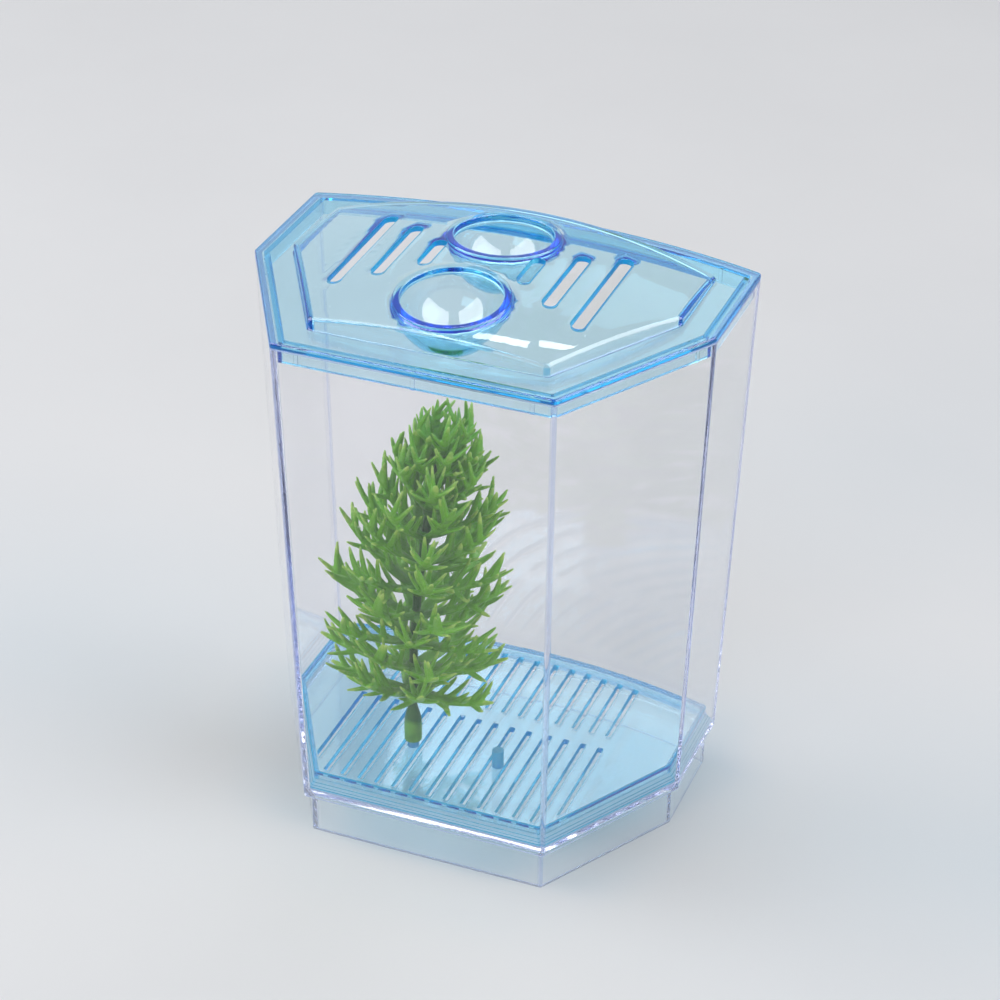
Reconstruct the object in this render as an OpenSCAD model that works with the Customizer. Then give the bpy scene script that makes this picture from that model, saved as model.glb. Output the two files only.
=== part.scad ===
// Fish breeding box: a clear drafted tank on a hollow foot, a domed blue lid with two
// dishes and six vents, a raised slotted false floor with two pegs, and a water plant
// of a leaning stem with leaf tiers pushed onto it.
// Frame: origin at the middle of the footprint on the table, +Z up, front face towards -Y.

/* [Tank outline at the rim] */
// Width over the two short sides
tank_w = 140; // [120:1:170]
// Width of the flat front face
front_w = 83; // [60:1:100]
// Depth of the two slanted front corners
chamfer_d = 49.5; // [35:0.5:60]
// Length of the straight short sides
side_l = 41.5; // [25:0.5:55]
// Bow of the back wall beyond the rear corners
back_bow = 11; // [6:0.5:18]

/* [Tank shell] */
// Height of the rim above the table
tank_h = 170; // [150:1:200]
// Wall thickness
wall = 2; // [1.5:0.1:3]
// Floor thickness
floor_t = 2.2; // [1.5:0.1:3.5]
// How far the body narrows on each side from rim to base
draft = 5; // [2:0.5:7]
// Bevel in the corner between the floor and the walls
floor_bevel = 0.8; // [0.4:0.1:1.2]
// Bevel under the outer bottom edge of the body
base_bevel = 1; // [0.5:0.1:1.5]

/* [Foot] */
// Height of the hollow foot under the body
foot_h = 13.5; // [10:0.5:18]
// Step in from the body to the foot
foot_step = 2.4; // [1.5:0.1:4]
// Wall thickness of the foot
foot_wall = 1.8; // [1.2:0.1:3]

/* [Lid] */
// Thickness of the lid everywhere
lid_t = 1.75; // [1.5:0.05:2.5]
// Depth of the lip inside the tank
lip_h = 4.8; // [3:0.1:7]
// Thickness of the lip
lip_t = 1.5; // [1:0.1:2]
// Clearance between the lip and the tank wall
lip_gap = 0.4; // [0.35:0.05:0.6]
// Width of the small ribs down the lip
rib_w = 1.2; // [0.8:0.1:2]
// Clearance between the lip ribs and the tank wall
rib_gap = 0.15; // [0.1:0.05:0.3]
// Distance from the middle to the outer front ribs
rib_x = 34.5; // [25:0.5:36]
// Distance of a rib on a slanted side from that side's rear corner
rib_end = 5.5; // [4:0.5:20]
// Distance from the middle to the ribs on the back
rib_back = 58.5; // [30:0.5:62]
// Width of the flat flange around the dome
flange_w = 11; // [8:0.5:13]
// Height of the crown above the flange
dome_rise = 9.6; // [8:0.1:12]
// Radius of the dome
dome_r = 250; // [240:5:300]
// How far the crown lies behind the middle of the box
crown_y = 2.8; // [0:0.1:5]

/* [Lid dishes and vents] */
// Inside radius of a dish at its mouth
dish_r = 14.4; // [12:0.1:15]
// Distance between the two dish centres
dish_pitch = 38.8; // [36:0.1:42]
// Place of the middle between the dishes, from the middle of the box
dish_y = -2.2; // [-4:0.1:2]
// Width of the ring around a dish
ring_w = 2.1; // [1.5:0.1:2.4]
// Height of the ring above the dome
ring_h = 0.7; // [0.4:0.1:1.2]
// Width of a vent slot
vent_w = 3.8; // [3:0.1:4]
// Distance from the middle to the first vent slot
vent_x = 14.9; // [14.5:0.1:17]
// Spacing of the vent slots
vent_pitch = 10.6; // [9:0.1:12]
// Lengths of the vent slots, from the middle outwards
vent_l = [15.2, 30.8, 43];
// Place of the middle of the vent slots
vent_y = 0; // [-4:0.1:4]

/* [Floor tray] */
// Height of the tray's top above the tank floor
tray_h = 6.6; // [6.4:0.1:12]
// Thickness of the tray's plate
tray_t = 1.8; // [1.2:0.1:2]
// Thickness of the tray's skirt
skirt_t = 1.4; // [1:0.1:1.8]
// How far the foot of the skirt flares out
flare_w = 1.5; // [0.8:0.1:2.2]
// Height of the flare, above its edge
flare_h = 2.2; // [1.2:0.1:2.6]
// Height of the flare's lower edge above the tank floor
flare_edge = 1.4; // [1.3:0.1:1.8]
// Clearance between the tray and the tank wall
tray_gap = 0.35; // [0.3:0.05:0.8]
// Spacing of the slots
slot_pitch = 5.55; // [4.5:0.05:6]
// Width of a slot
slot_w = 1.7; // [1.2:0.1:2.4]
// Number of slots on each side of the middle one
slot_n = 7; // [5:1:7]
// Plain border in front of the slots
slot_front = 1.4; // [1:0.1:4]
// Plain border behind the slots
slot_back = 5.5; // [3:0.1:8]
// Width of the plain bar between the two rows
bar_w = 6.4; // [4:0.1:10]
// Place of the plain bar, from the middle of the box
bar_y = 3.8; // [-5:0.1:8]
// Radius of a peg
peg_r = 1.8; // [1.2:0.05:2]
// Height of a peg above the plate
peg_h = 6; // [4:0.1:8]
// Place of the pegs along the depth
peg_y = -19; // [-24:0.5:-12]

/* [Plant] */
// Clearance between a peg and the stem's socket
peg_gap = 0.05; // [0.03:0.01:0.1]
// Depth of the socket over the peg
socket_d = 3.5; // [2.5:0.1:5]
// Outside radius of the socket
socket_r = 2.65; // [2.4:0.05:3.2]
// Length of the straight part of the socket
socket_l = 8; // [6:0.5:10]
// Length of the taper from the socket to the stem
neck_l = 5; // [3:0.5:8]
// Shoulder between the top of the neck and the stem
neck_step = 0.15; // [0.1:0.05:0.4]
// Radius of the stem
stem_r = 1.25; // [1:0.05:1.5]
// Distance between the leaf tiers
tier_pitch = 9.3; // [8:0.1:10]
// Sideways lean of the stem at its top
lean = 9; // [2:0.5:10]
// Direction of the lean, from +X towards +Y
lean_dir = 21; // [0:1:45]
// Clearance between the stem and a leaf collar
collar_gap = 0.03; // [0.02:0.01:0.05]
// Outside radius of a leaf collar
collar_r = 2.2; // [2:0.05:2.6]
// Height of a leaf collar
collar_h = 4; // [3:0.1:5]
// Number of fronds in a tier
frond_n = 6; // [4:1:7]
// Length of the longest frond
frond_l = 32; // [22:1:34]
// Room left between the leaves and the tank's front wall
leaf_gap = 3; // [2.5:0.1:5]
// Thickness of a frond
frond_t = 1; // [0.8:0.1:1.4]
// Half width of a frond's stalk
frond_w = 1; // [0.8:0.1:1.4]
// Length of a side finger of a frond
finger_l = 7.5; // [5:0.5:9]
// Number of fronds in the tip
tip_n = 5; // [4:1:6]
// Length of a frond in the tip
tip_l = 15; // [8:0.5:16]
// Rise of the tip's fronds above level, in degrees
tip_angle = 62; // [50:1:66]

/* [Hidden] */
TIERS = ["leaf_tier_1", "leaf_tier_2", "leaf_tier_3", "leaf_tier_4", "leaf_tier_5",
         "leaf_tier_6", "leaf_tier_7", "leaf_tier_8", "leaf_tier_9"];

$fn = 96;
big_fn = 360;
far = 400;              // longer than anything in the box
over = 1;               // how far a cut runs past a face
clear_tint = [0.85, 0.88, 0.95, 0.35];
blue_tint = [0.2, 0.5, 0.85, 0.6];
stem_green = [0.1, 0.3, 0.12];
leaf_green = [0.25, 0.55, 0.15];

// Plan of the box at the rim
depth = chamfer_d + side_l + back_bow;
y_front = -depth / 2;
y_side = y_front + chamfer_d;
y_rear = y_side + side_l;
half_w = tank_w / 2;
half_front = front_w / 2;
back_r = (half_w * half_w + back_bow * back_bow) / (2 * back_bow);
back_y = y_rear + back_bow - back_r;
chamfer_a = atan2(chamfer_d, half_w - half_front);   // slant of a corner face from +X
chamfer_n = chamfer_a - 90;                          // its outward normal
chamfer_k = half_front * cos(chamfer_n) + y_front * sin(chamfer_n);

// Heights
floor_z = foot_h + floor_t;
tray_z = floor_z + tray_h;
lid_z = tank_h + lid_t;
lip_z = tank_h - lip_h;

// How far the outer wall has come in from the rim outline at height z
function inset(z) = draft * (tank_h - z) / (tank_h - foot_h);

// Insets of the mating faces
lip_in = wall + inset(lip_z) + lip_gap;
tray_foot_in = wall + inset(floor_z) + tray_gap;
tray_in = tray_foot_in + flare_w;
foot_in = draft + foot_step;

// The point at height z on the line through two points of a profile
function at_height(a, b, z) = [a[0] + (b[0] - a[0]) * (z - a[1]) / (b[1] - a[1]), z];

// A profile, a list of [inset, height] going up, run on past both its ends and with its
// heights counted from the datum
function run_on(p, datum) = let (last = len(p) - 1, q = [
    at_height(p[0], p[1], p[0][1] - over),
    for (i = [1 : 1 : last - 1]) p[i],
    at_height(p[last - 1], p[last], p[last][1] + over)])
    [for (v = q) [v[0], v[1] - datum]];

// Polygon from far inside out to the profile, for a side at this distance
function side_outline(p, inside, dist) = concat([[inside, p[0][1]]],
    [for (v = p) [dist - v[0], v[1]]], [[inside, p[len(p) - 1][1]]]);

// One side of the box as a block
module side_block(normal, dist, p) {
    rotate([0, 0, normal])
        rotate([90, 0, 0])
            translate([0, 0, -far / 2])
                linear_extrude(height = far)
                    polygon(side_outline(p, -far, dist));
}

// The box's outline as a solid whose sides follow the profile. Its bend lies at the
// datum, where the turned blocks meet best.
module form(profile) {
    datum = profile[1][1];
    low = profile[0][1] - datum;
    high = profile[len(profile) - 1][1] - datum;
    p = run_on(profile, datum);
    translate([0, 0, datum])
        intersection() {
            side_block(-90, -y_front, p);
            side_block(0, half_w, p);
            side_block(180, half_w, p);
            side_block(chamfer_n, chamfer_k, p);
            side_block(180 - chamfer_n, chamfer_k, p);
            translate([-far / 2, -far / 2, low])
                cube([far, far, high - low]);
            translate([0, back_y, 0])
                rotate_extrude($fn = big_fn)
                    polygon(side_outline(p, 0, back_r));
        }
}

// The same with upright sides
module prism_form(k, z0, z1) {
    form([[k, z0], [k, z1]]);
}

module tank() {
    edge_z = foot_h + base_bevel;
    bevel_z = floor_z + floor_bevel;
    color(clear_tint)
        difference() {
            union() {
                form([[draft + base_bevel, foot_h], [inset(edge_z), edge_z], [0, tank_h]]);
                prism_form(foot_in, 0, foot_h + floor_t / 2);
            }
            form([[wall + inset(floor_z) + floor_bevel, floor_z],
                  [wall + inset(bevel_z), bevel_z],
                  [wall + inset(tank_h + over), tank_h + over]]);
            prism_form(foot_in + foot_wall, -over, foot_h);
        }
}

// Middle of the dome's sphere, and the tilt that brings a dish onto the dome
dome_c = [0, crown_y, lid_z + dome_rise - dome_r];
function dish_tilt(y) = asin((y - crown_y) / dome_r);
dish_out = dish_r + lid_t;
ring_r = dish_r + ring_w;
DISHES = [dish_y - dish_pitch / 2, dish_y + dish_pitch / 2];

// Puts a child, modelled with the dome's surface at z = 0, onto the dome at depth y
module on_dome(y) {
    translate(dome_c)
        rotate([-dish_tilt(y), 0, 0])
            translate([0, 0, dome_r])
                children();
}

// Drop of the dome's surface at the ring, below the top of its sphere
ring_drop = dome_r - sqrt(dome_r * dome_r - ring_r * ring_r);

module dish_shell() {
    // the half ball under the mouth, and the ring round it
    translate([0, 0, ring_h - ring_drop - lid_t])
        cylinder(h = lid_t, r = ring_r);
    translate([0, 0, -ring_drop])
        difference() {
            sphere(r = dish_out, $fn = big_fn / 2);
            cylinder(h = far, r = far);
        }
}

module dish_hollow() {
    translate([0, 0, -ring_drop]) {
        sphere(r = dish_r, $fn = big_fn / 2);
        cylinder(h = 4 * lid_t, r = dish_r);
    }
}

module vent(x, l) {
    run = l - vent_w;
    translate([x, vent_y, tank_h - over]) {
        translate([-vent_w / 2, -run / 2, 0])
            cube([vent_w, run, dome_rise + lid_t + 2 * over]);
        for (s = [-1, 1])
            translate([0, s * run / 2, 0])
                cylinder(h = dome_rise + lid_t + 2 * over, r = vent_w / 2);
    }
}

// A rib down the lip, on the side with this outward normal
module lip_rib(normal, dist, along) {
    rotate([0, 0, normal])
        translate([dist - lip_in - lip_t / 2, along - rib_w / 2, lip_z])
            cube([lip_t / 2 + lip_gap - rib_gap, rib_w, lip_h]);
}

module lip_ribs() {
    corner_along = y_side * cos(chamfer_n) - half_w * sin(chamfer_n);
    back_a = asin(rib_back / back_r);
    for (x = [-rib_x, 0, rib_x])
        lip_rib(-90, -y_front, x);
    for (m = [0, 1])
        mirror([m, 0, 0]) {
            lip_rib(chamfer_n, chamfer_k, corner_along - rib_end);
            translate([0, back_y, 0])
                lip_rib(90 - back_a, back_r, 0);
        }
}

module lid() {
    color(blue_tint)
        difference() {
            union() {
                // flange
                difference() {
                    prism_form(0, tank_h, lid_z);
                    prism_form(flange_w + lid_t, tank_h - over, lid_z + over);
                }
                // dome with its upright walls
                difference() {
                    intersection() {
                        prism_form(flange_w, tank_h, lid_z + dome_rise + over);
                        translate(dome_c)
                            sphere(r = dome_r, $fn = 2 * big_fn);
                    }
                    intersection() {
                        prism_form(flange_w + lid_t, tank_h - over, lid_z + dome_rise);
                        translate(dome_c)
                            sphere(r = dome_r - lid_t, $fn = 2 * big_fn);
                    }
                }
                // lip
                difference() {
                    prism_form(lip_in, lip_z, tank_h + lid_t / 2);
                    prism_form(lip_in + lip_t, lip_z - over, lid_z);
                }
                for (y = DISHES)
                    on_dome(y)
                        dish_shell();
                lip_ribs();
            }
            for (y = DISHES)
                on_dome(y)
                    dish_hollow();
            for (s = [-1, 1], i = [0 : len(vent_l) - 1])
                vent(s * (vent_x + i * vent_pitch), vent_l[i]);
        }
}

peg_x = 2.5 * slot_pitch;

module floor_tray() {
    edge_z = floor_z + flare_edge;
    skirt_z = edge_z + flare_h;
    under_z = tray_z - tray_t;
    color(blue_tint)
        difference() {
            union() {
                form([[tray_foot_in + floor_bevel, floor_z],
                      [tray_foot_in, floor_z + floor_bevel], [tray_foot_in, edge_z],
                      [tray_in, skirt_z], [tray_in, tray_z]]);
                for (s = [-1, 1])
                    translate([s * peg_x, peg_y, tray_z - tray_t / 2])
                        cylinder(h = peg_h + tray_t / 2, r = peg_r);
            }
            // hollow under the plate
            form([[tray_foot_in + skirt_t, floor_z - over], [tray_foot_in + skirt_t, edge_z],
                  [tray_in + skirt_t, skirt_z], [tray_in + skirt_t, under_z]]);
            // two rows of slots
            for (i = [-slot_n : slot_n])
                intersection() {
                    slot_field();
                    translate([i * slot_pitch - slot_w / 2, y_front, under_z - over])
                        cube([slot_w, depth, tray_t + 2 * over]);
                }
        }
}

// The two areas of the plate that are slotted
module slot_field() {
    low = tray_z - tray_t - over;
    difference() {
        intersection() {
            prism_form(tray_in + slot_front, low, tray_z + over);
            translate([0, -slot_back, 0])
                prism_form(tray_in, low, tray_z + over);
        }
        translate([-far / 2, bar_y - bar_w / 2, 0])
            cube([far, bar_w, far]);
    }
}

// Plant: above its socket the stem bends along an arc, with the tiers spaced along it
TIER_N = len(TIERS);
socket_z = tray_z + peg_h - socket_d;
stem_z = socket_z + socket_l + neck_l;
stem_l = (TIER_N + 0.5) * tier_pitch;
bend_r = stem_l * stem_l / (2 * lean);
function bend_a(l) = l / bend_r * 180 / PI;

// Puts a child that stands on z = 0 at length l along the bent stem
module on_stem(l) {
    translate([-peg_x, peg_y, stem_z])
        rotate([0, 0, lean_dir])
            translate([bend_r, 0, 0])
                rotate([0, bend_a(l), 0])
                    translate([-bend_r, 0, 0])
                        rotate([0, 0, -lean_dir])
                            children();
}

module plant_stem() {
    color(stem_green) {
        difference() {
            translate([-peg_x, peg_y, socket_z])
                rotate_extrude()
                    polygon([[0, 0], [socket_r, 0], [socket_r, socket_l],
                             [stem_r + neck_step, socket_l + neck_l],
                             [0, socket_l + neck_l]]);
            translate([-peg_x, peg_y, socket_z - over])
                cylinder(h = socket_d + over, r = peg_r + peg_gap);
        }
        // the bent stem is rooted inside the neck
        translate([-peg_x, peg_y, stem_z])
            rotate([0, 0, lean_dir])
                translate([bend_r, 0, 0])
                    rotate([-90, 0, 180])
                        rotate([0, 0, bend_a(over)])
                            rotate_extrude(angle = -bend_a(stem_l + over), $fn = 4 * big_fn)
                                translate([bend_r, 0])
                                    circle(r = stem_r);
    }
}

// Outline of one frond along +X: a stalk with three pairs of fingers and a pointed end.
// Steeper fronds stand closer together, so their fingers spread less.
function fingers(l, side, spread) = let (finger = finger_l * l / frond_l)
    [for (p = [0.36, 0.58, 0.8])
        each [[p * l, side * frond_w],
              [p * l + 0.75 * finger,
               side * (frond_w + 0.6 * spread * finger * (1.15 - p / 2))],
              [p * l + 0.3 * finger, side * frond_w]]];

function reversed(v) = [for (i = [len(v) - 1 : -1 : 0]) v[i]];

module frond(l, spread) {
    translate([0, 0, -frond_t / 2])
        linear_extrude(height = frond_t)
            polygon(concat([[0, -frond_w]], fingers(l, -1, spread), [[l, 0]],
                           reversed(fingers(l, 1, spread)), [[0, frond_w]]));
}

// Frond length and rise of tier i: longest in the middle, steeper towards the top
function tier_l(i) = frond_l * (0.72 + 0.28 * sin(180 * (i + 0.8) / (TIER_N - 0.4)))
    * (1 - 0.42 * pow(i / TIER_N, 3));
function tier_rise(i) = 8 + 58 * i / TIER_N;
function tier_turn(i) = 12 * sin(137 * i);

// Bore of a collar, cut through everything that the stem passes
module stem_bore(low, high) {
    translate([0, 0, low])
        cylinder(h = high - low, r = stem_r + collar_gap);
}

// Longest frond that a direction has room for: those towards the front wall are shorter
root_r = (collar_r + stem_r) / 2;
front_room = peg_y - (y_front + wall + inset(stem_z)) - leaf_gap;
function longest(a, rise) = sin(a) < 0 ? (front_room / -sin(a) - root_r) / cos(rise) : far;

module whorl(n, turn, rise, l) {
    cylinder(h = collar_h, r = collar_r);
    for (k = [0 : n - 1]) {
        a = 360 / n * k + turn;
        rotate([0, 0, a])
            translate([root_r, 0, collar_h / 2])
                rotate([0, -rise, 0])
                    frond(min(l, longest(a, rise)), cos(rise));
    }
}

module leaf_tier(i) {
    color(leaf_green)
        on_stem((i + 0.5) * tier_pitch)
            translate([0, 0, -collar_h / 2])
                difference() {
                    whorl(frond_n, tier_turn(i), tier_rise(i), tier_l(i));
                    stem_bore(-tier_pitch, 2 * tier_pitch);
                }
}

// The last whorl sits like a cap on the stem's end
module leaf_tip() {
    color(leaf_green)
        on_stem(stem_l)
            translate([0, 0, -collar_h / 2])
                difference() {
                    whorl(tip_n, 0, tip_angle, tip_l);
                    stem_bore(-tier_pitch, collar_h / 2);
                }
}

tank();
lid();
floor_tray();
plant_stem();
leaf_tier(0);  // leaf_tier_1
leaf_tier(1);  // leaf_tier_2
leaf_tier(2);  // leaf_tier_3
leaf_tier(3);  // leaf_tier_4
leaf_tier(4);  // leaf_tier_5
leaf_tier(5);  // leaf_tier_6
leaf_tier(6);  // leaf_tier_7
leaf_tier(7);  // leaf_tier_8
leaf_tier(8);  // leaf_tier_9
leaf_tip();
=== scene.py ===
import math
import random

import bpy
import bmesh
from mathutils import Matrix, Vector, geometry, kdtree


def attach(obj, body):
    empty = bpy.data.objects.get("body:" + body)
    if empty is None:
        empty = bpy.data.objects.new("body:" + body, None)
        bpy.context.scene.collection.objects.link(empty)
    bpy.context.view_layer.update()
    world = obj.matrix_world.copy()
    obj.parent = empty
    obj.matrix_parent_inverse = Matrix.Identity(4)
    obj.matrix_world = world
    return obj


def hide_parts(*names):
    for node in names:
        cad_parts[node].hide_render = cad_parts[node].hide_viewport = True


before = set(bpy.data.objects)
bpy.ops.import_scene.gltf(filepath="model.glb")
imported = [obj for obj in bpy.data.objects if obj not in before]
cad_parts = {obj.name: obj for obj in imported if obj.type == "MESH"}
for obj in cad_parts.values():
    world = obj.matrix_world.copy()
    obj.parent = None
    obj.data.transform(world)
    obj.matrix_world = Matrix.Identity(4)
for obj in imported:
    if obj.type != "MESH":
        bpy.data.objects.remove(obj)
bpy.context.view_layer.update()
MM = 0.001

# ---------------------------------------------------------------- plan of the box
# All shape numbers are in mm, in the row's frame.
HALF_W = 70.0
HALF_FRONT = 41.5       # half the width of the flat front
Y_FRONT = -51.0
Y_SIDE = -1.5           # where the slanted faces meet the sides
Y_REAR = 40.0           # where the sides meet the bowed back
BOW = 11.0
WALL = 2.0              # thickness of the tank's walls
DRAFT = 5.0             # how far the walls lean in from the rim to the foot
BACK_R = (HALF_W ** 2 + BOW ** 2) / (2 * BOW)
BACK_Y = Y_REAR + BOW - BACK_R
CH_N = math.atan2(Y_SIDE - Y_FRONT, HALF_W - HALF_FRONT) - math.pi / 2
CH_K = HALF_FRONT * math.cos(CH_N) + Y_FRONT * math.sin(CH_N)
TANK_H, FOOT_H, FLOOR_Z, LID_T = 170.0, 13.5, 15.7, 1.75
LID_Z = TANK_H + LID_T
TRAY_Z = 22.3
# Front, slanted and side face, each as its normal's angle and its distance from the origin
SIDES = [(-math.pi / 2, -Y_FRONT), (CH_N, CH_K), (0.0, HALF_W)]
ARC_N = 6               # points on a corner's arc
BACK_N = 40             # points on the bowed back


def inset(z):
    """How far the leaning walls have moved in at height z."""
    return DRAFT * (TANK_H - z) / (TANK_H - FOOT_H)


def meet(a, b, k):
    """Where two straight sides, moved in by k, cross."""
    (na, da), (nb, db) = a, b
    det = math.cos(na) * math.sin(nb) - math.sin(na) * math.cos(nb)
    x = ((da - k) * math.sin(nb) - (db - k) * math.sin(na)) / det
    y = (math.cos(na) * (db - k) - math.cos(nb) * (da - k)) / det
    return x, y


def arc(c, r, a0, a1, n=ARC_N):
    """n points on an arc about c, both ends among them."""
    return [(c[0] + r * math.cos(a0 + (a1 - a0) * i / (n - 1)),
             c[1] + r * math.sin(a0 + (a1 - a0) * i / (n - 1))) for i in range(n)]


def outline(k, r, cuts=1):
    """The box's plan moved in by k, corners rounded by r: right half, back, left half.
    Always 6 corner arcs of ARC_N points and BACK_N points between the two rear ones.
    Each straight side is cut into this many segments."""
    half = []
    for a, b in ((0, 1), (1, 2)):
        half.append(arc(meet(SIDES[a], SIDES[b], k + r), r, SIDES[a][0], SIDES[b][0]))
    x = HALF_W - k - r
    y = BACK_Y + math.sqrt((BACK_R - k - r) ** 2 - x * x)
    turn = math.atan2(y - BACK_Y, x)
    half.append(arc((x, y), r, 0.0, turn))
    back = [((BACK_R - k) * math.cos(t), BACK_Y + (BACK_R - k) * math.sin(t))
            for t in (turn + (math.pi - 2 * turn) * (i + 1) / (BACK_N + 1)
                      for i in range(BACK_N))]
    right = [p for c in half for p in c]
    pts = []
    ring = right + back + [(-x, y) for x, y in reversed(right)]
    for i, a in enumerate(ring):
        pts.append(a)
        b = ring[(i + 1) % len(ring)]
        if i in STRAIGHT:
            pts += [(a[0] + (b[0] - a[0]) * t / cuts, a[1] + (b[1] - a[1]) * t / cuts)
                    for t in range(1, cuts)]
    return pts


RING_N = 6 * ARC_N + BACK_N
STRAIGHT = {ARC_N - 1, 2 * ARC_N - 1, RING_N - 1 - 2 * ARC_N, RING_N - 1 - ARC_N, RING_N - 1}
DOME_CUTS = 14          # segments on each straight side under the dome's arched edge
DOME_STEP = 2.4         # spacing of the points on the dome


def sides(cuts):
    """The segments of a ring that lie on a straight side, and those on the bowed back."""
    flat, back, n = set(), set(), 0
    for i in range(RING_N):
        count = cuts if i in STRAIGHT else 1
        if i in STRAIGHT:
            flat.update(range(n, n + count))
        elif 3 * ARC_N - 1 <= i < 3 * ARC_N + BACK_N:
            back.add(n)
        n += count
    return n, (flat, back)


PLAN = dict(sides(cuts) for cuts in (1, DOME_CUTS))


# ---------------------------------------------------------------- mesh building
NARROW = 0.45           # a strip no wider than this belongs to a rounded edge


class Shell:
    """One closed skin, built from rings, the strips between them and triangulated patches.
    Each face carries painted light: 0 on a broad face, 1 on an edge painted with a blue glow,
    and up to 2 on an edge whose painted glow turns into a pale painted highlight."""

    def __init__(self):
        self.v, self.f, self.smooth, self.tone = [], [], [], []

    def face(self, ids, smooth, tone):
        self.f.append(tuple(ids))
        self.smooth.append(smooth)
        self.tone.append(tone)

    def ring(self, pts, z=None):
        start = len(self.v)
        for p in pts:
            self.v.append((p[0], p[1], p[2] if z is None else z))
        return list(range(start, len(self.v)))

    def strip(self, a, b, smooth=True, tone=0.0):
        n = len(a)
        for i in range(n):
            self.face((a[i], a[(i + 1) % n], b[(i + 1) % n], b[i]), smooth, tone)

    def rings(self, rings, tone=0.0):
        for a, b in zip(rings, rings[1:]):
            self.strip(a, b, tone=tone)

    def skin(self, steps):
        """Joins rings given as (ring, painted light, painted light on the corners) on the box's
        plan. Straight walls are shaded flat, the bowed back and the narrow strips round an edge
        smooth."""
        for (a, _, _), (b, tone, corner) in zip(steps, steps[1:]):
            flat, back = PLAN[len(a)]
            broad = math.dist(self.v[a[0]], self.v[b[0]]) > NARROW
            for i in range(len(a)):
                j = (i + 1) % len(a)
                self.face((a[i], a[j], b[j], b[i]), not (broad and i in flat),
                          tone if i in flat or i in back else corner)

    def cap(self, ring, tone=0.0):
        self.face(ring, False, tone)

    def point_cap(self, ring, p):
        """Closes a ring with a fan to one point."""
        self.v.append(tuple(p))
        for i in range(len(ring)):
            self.face((ring[i], ring[(i + 1) % len(ring)], len(self.v) - 1), True, 0.0)

    def patch(self, outer, holes, height=None, step=DOME_STEP, tone=0.0):
        """Fills the space between loops. With a height function the patch is curved and
        gets a grid of points of its own, otherwise it is flat."""
        loops = [outer] + list(holes)
        pts = [Vector(self.v[i][:2]) for loop in loops for i in loop]
        index = [i for loop in loops for i in loop]
        faces, n = [], 0
        for loop in loops:
            faces.append(list(range(n, n + len(loop))))
            n += len(loop)
        if height:
            edges = [(pts[f[i]], pts[f[(i + 1) % len(f)]]) for f in faces for i in range(len(f))]
            pts += [p for p in hexgrid(step) if min(gap(p, a, b) for a, b in edges) > 0.55 * step
                    and inside(p, [pts[i] for i in faces[0]])
                    and not any(inside(p, [pts[i] for i in f]) for f in faces[1:])]
            for p in pts[n:]:
                self.v.append((p.x, p.y, height(p.x, p.y)))
                index.append(len(self.v) - 1)
        out = geometry.delaunay_2d_cdt(pts, [], faces, 0, 1e-5)
        for tri, origin in zip(out[2], out[5]):
            if list(origin) == [0]:
                self.face([index[out[3][i][0]] for i in tri], bool(height), tone)

    def build(self, name):
        """Makes the object, in metres, with its faces turned outwards."""
        mesh = bpy.data.meshes.new(name)
        mesh.from_pydata([[c * MM for c in p] for p in self.v], [], self.f)
        mesh.polygons.foreach_set("use_smooth", self.smooth)
        mesh.attributes.new("tone", "FLOAT", "FACE").data.foreach_set("value", self.tone)
        bm = bmesh.new()
        bm.from_mesh(mesh)
        bmesh.ops.recalc_face_normals(bm, faces=bm.faces)
        bad = sum(1 for e in bm.edges if len(e.link_faces) != 2)
        # Cycles pairs a volume's way in and out only between faces shaded alike, so every
        # face is smooth and the flat ones are fenced with sharp edges
        for e in bm.edges:
            e.smooth = all(f.smooth for f in e.link_faces)
        for f in bm.faces:
            f.smooth = True
        if bm.calc_volume(signed=True) < 0:
            bmesh.ops.reverse_faces(bm, faces=bm.faces)
        bm.to_mesh(mesh)
        bm.free()
        if bad:
            print("OPEN", name, bad)
        obj = bpy.data.objects.new(name, mesh)
        bpy.context.scene.collection.objects.link(obj)
        return obj


def hexgrid(step):
    """A triangular grid of points that covers the box's plan."""
    row_step, deep, half_wide = 0.866, 110, 72
    rows = int(deep / (step * row_step))
    for j in range(-rows // 2, rows // 2 + 1):
        for i in range(int(-half_wide / step), int(half_wide / step) + 1):
            yield Vector(((i + 0.5 * (j % 2)) * step, j * step * row_step))


def gap(p, a, b):
    """Distance of a point from a segment."""
    d = b - a
    t = max(0.0, min(1.0, (p - a).dot(d) / max(d.length_squared, 1e-12)))
    return (p - a - d * t).length


def inside(p, poly):
    """Whether a point lies in a polygon, by counting crossings."""
    hit = False
    for i, a in enumerate(poly):
        b = poly[i - 1]
        if (a.y > p.y) != (b.y > p.y) and p.x < (b.x - a.x) * (p.y - a.y) / (b.y - a.y) + a.x:
            hit = not hit
    return hit


def quarter(r, n=4):
    """Points of a quarter round as (run, fall), from the flat's end to the wall's start."""
    return [(r * (1 - math.sin(t)), r * (1 - math.cos(t)))
            for t in (math.pi / 2 * i / n for i in range(n + 1))]


# ---------------------------------------------------------------- tank
def level(s, k, z, r, tone=0.0, corner=0.0, cuts=1):
    """A ring of the box's plan, with the painted light of the strip that leads to it."""
    return s.ring(outline(k, r, cuts), z), tone, corner


def bend(s, points, r, tone, wall=(0.0, 0.0), cuts=1):
    """Rings round an edge, with its painted light. The strip that leads to it keeps the painted
    light of the wall before.
    """
    return [level(s, k, z, r, *(wall if i == 0 else (tone, tone)), cuts)
            for i, (k, z) in enumerate(points)]


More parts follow.
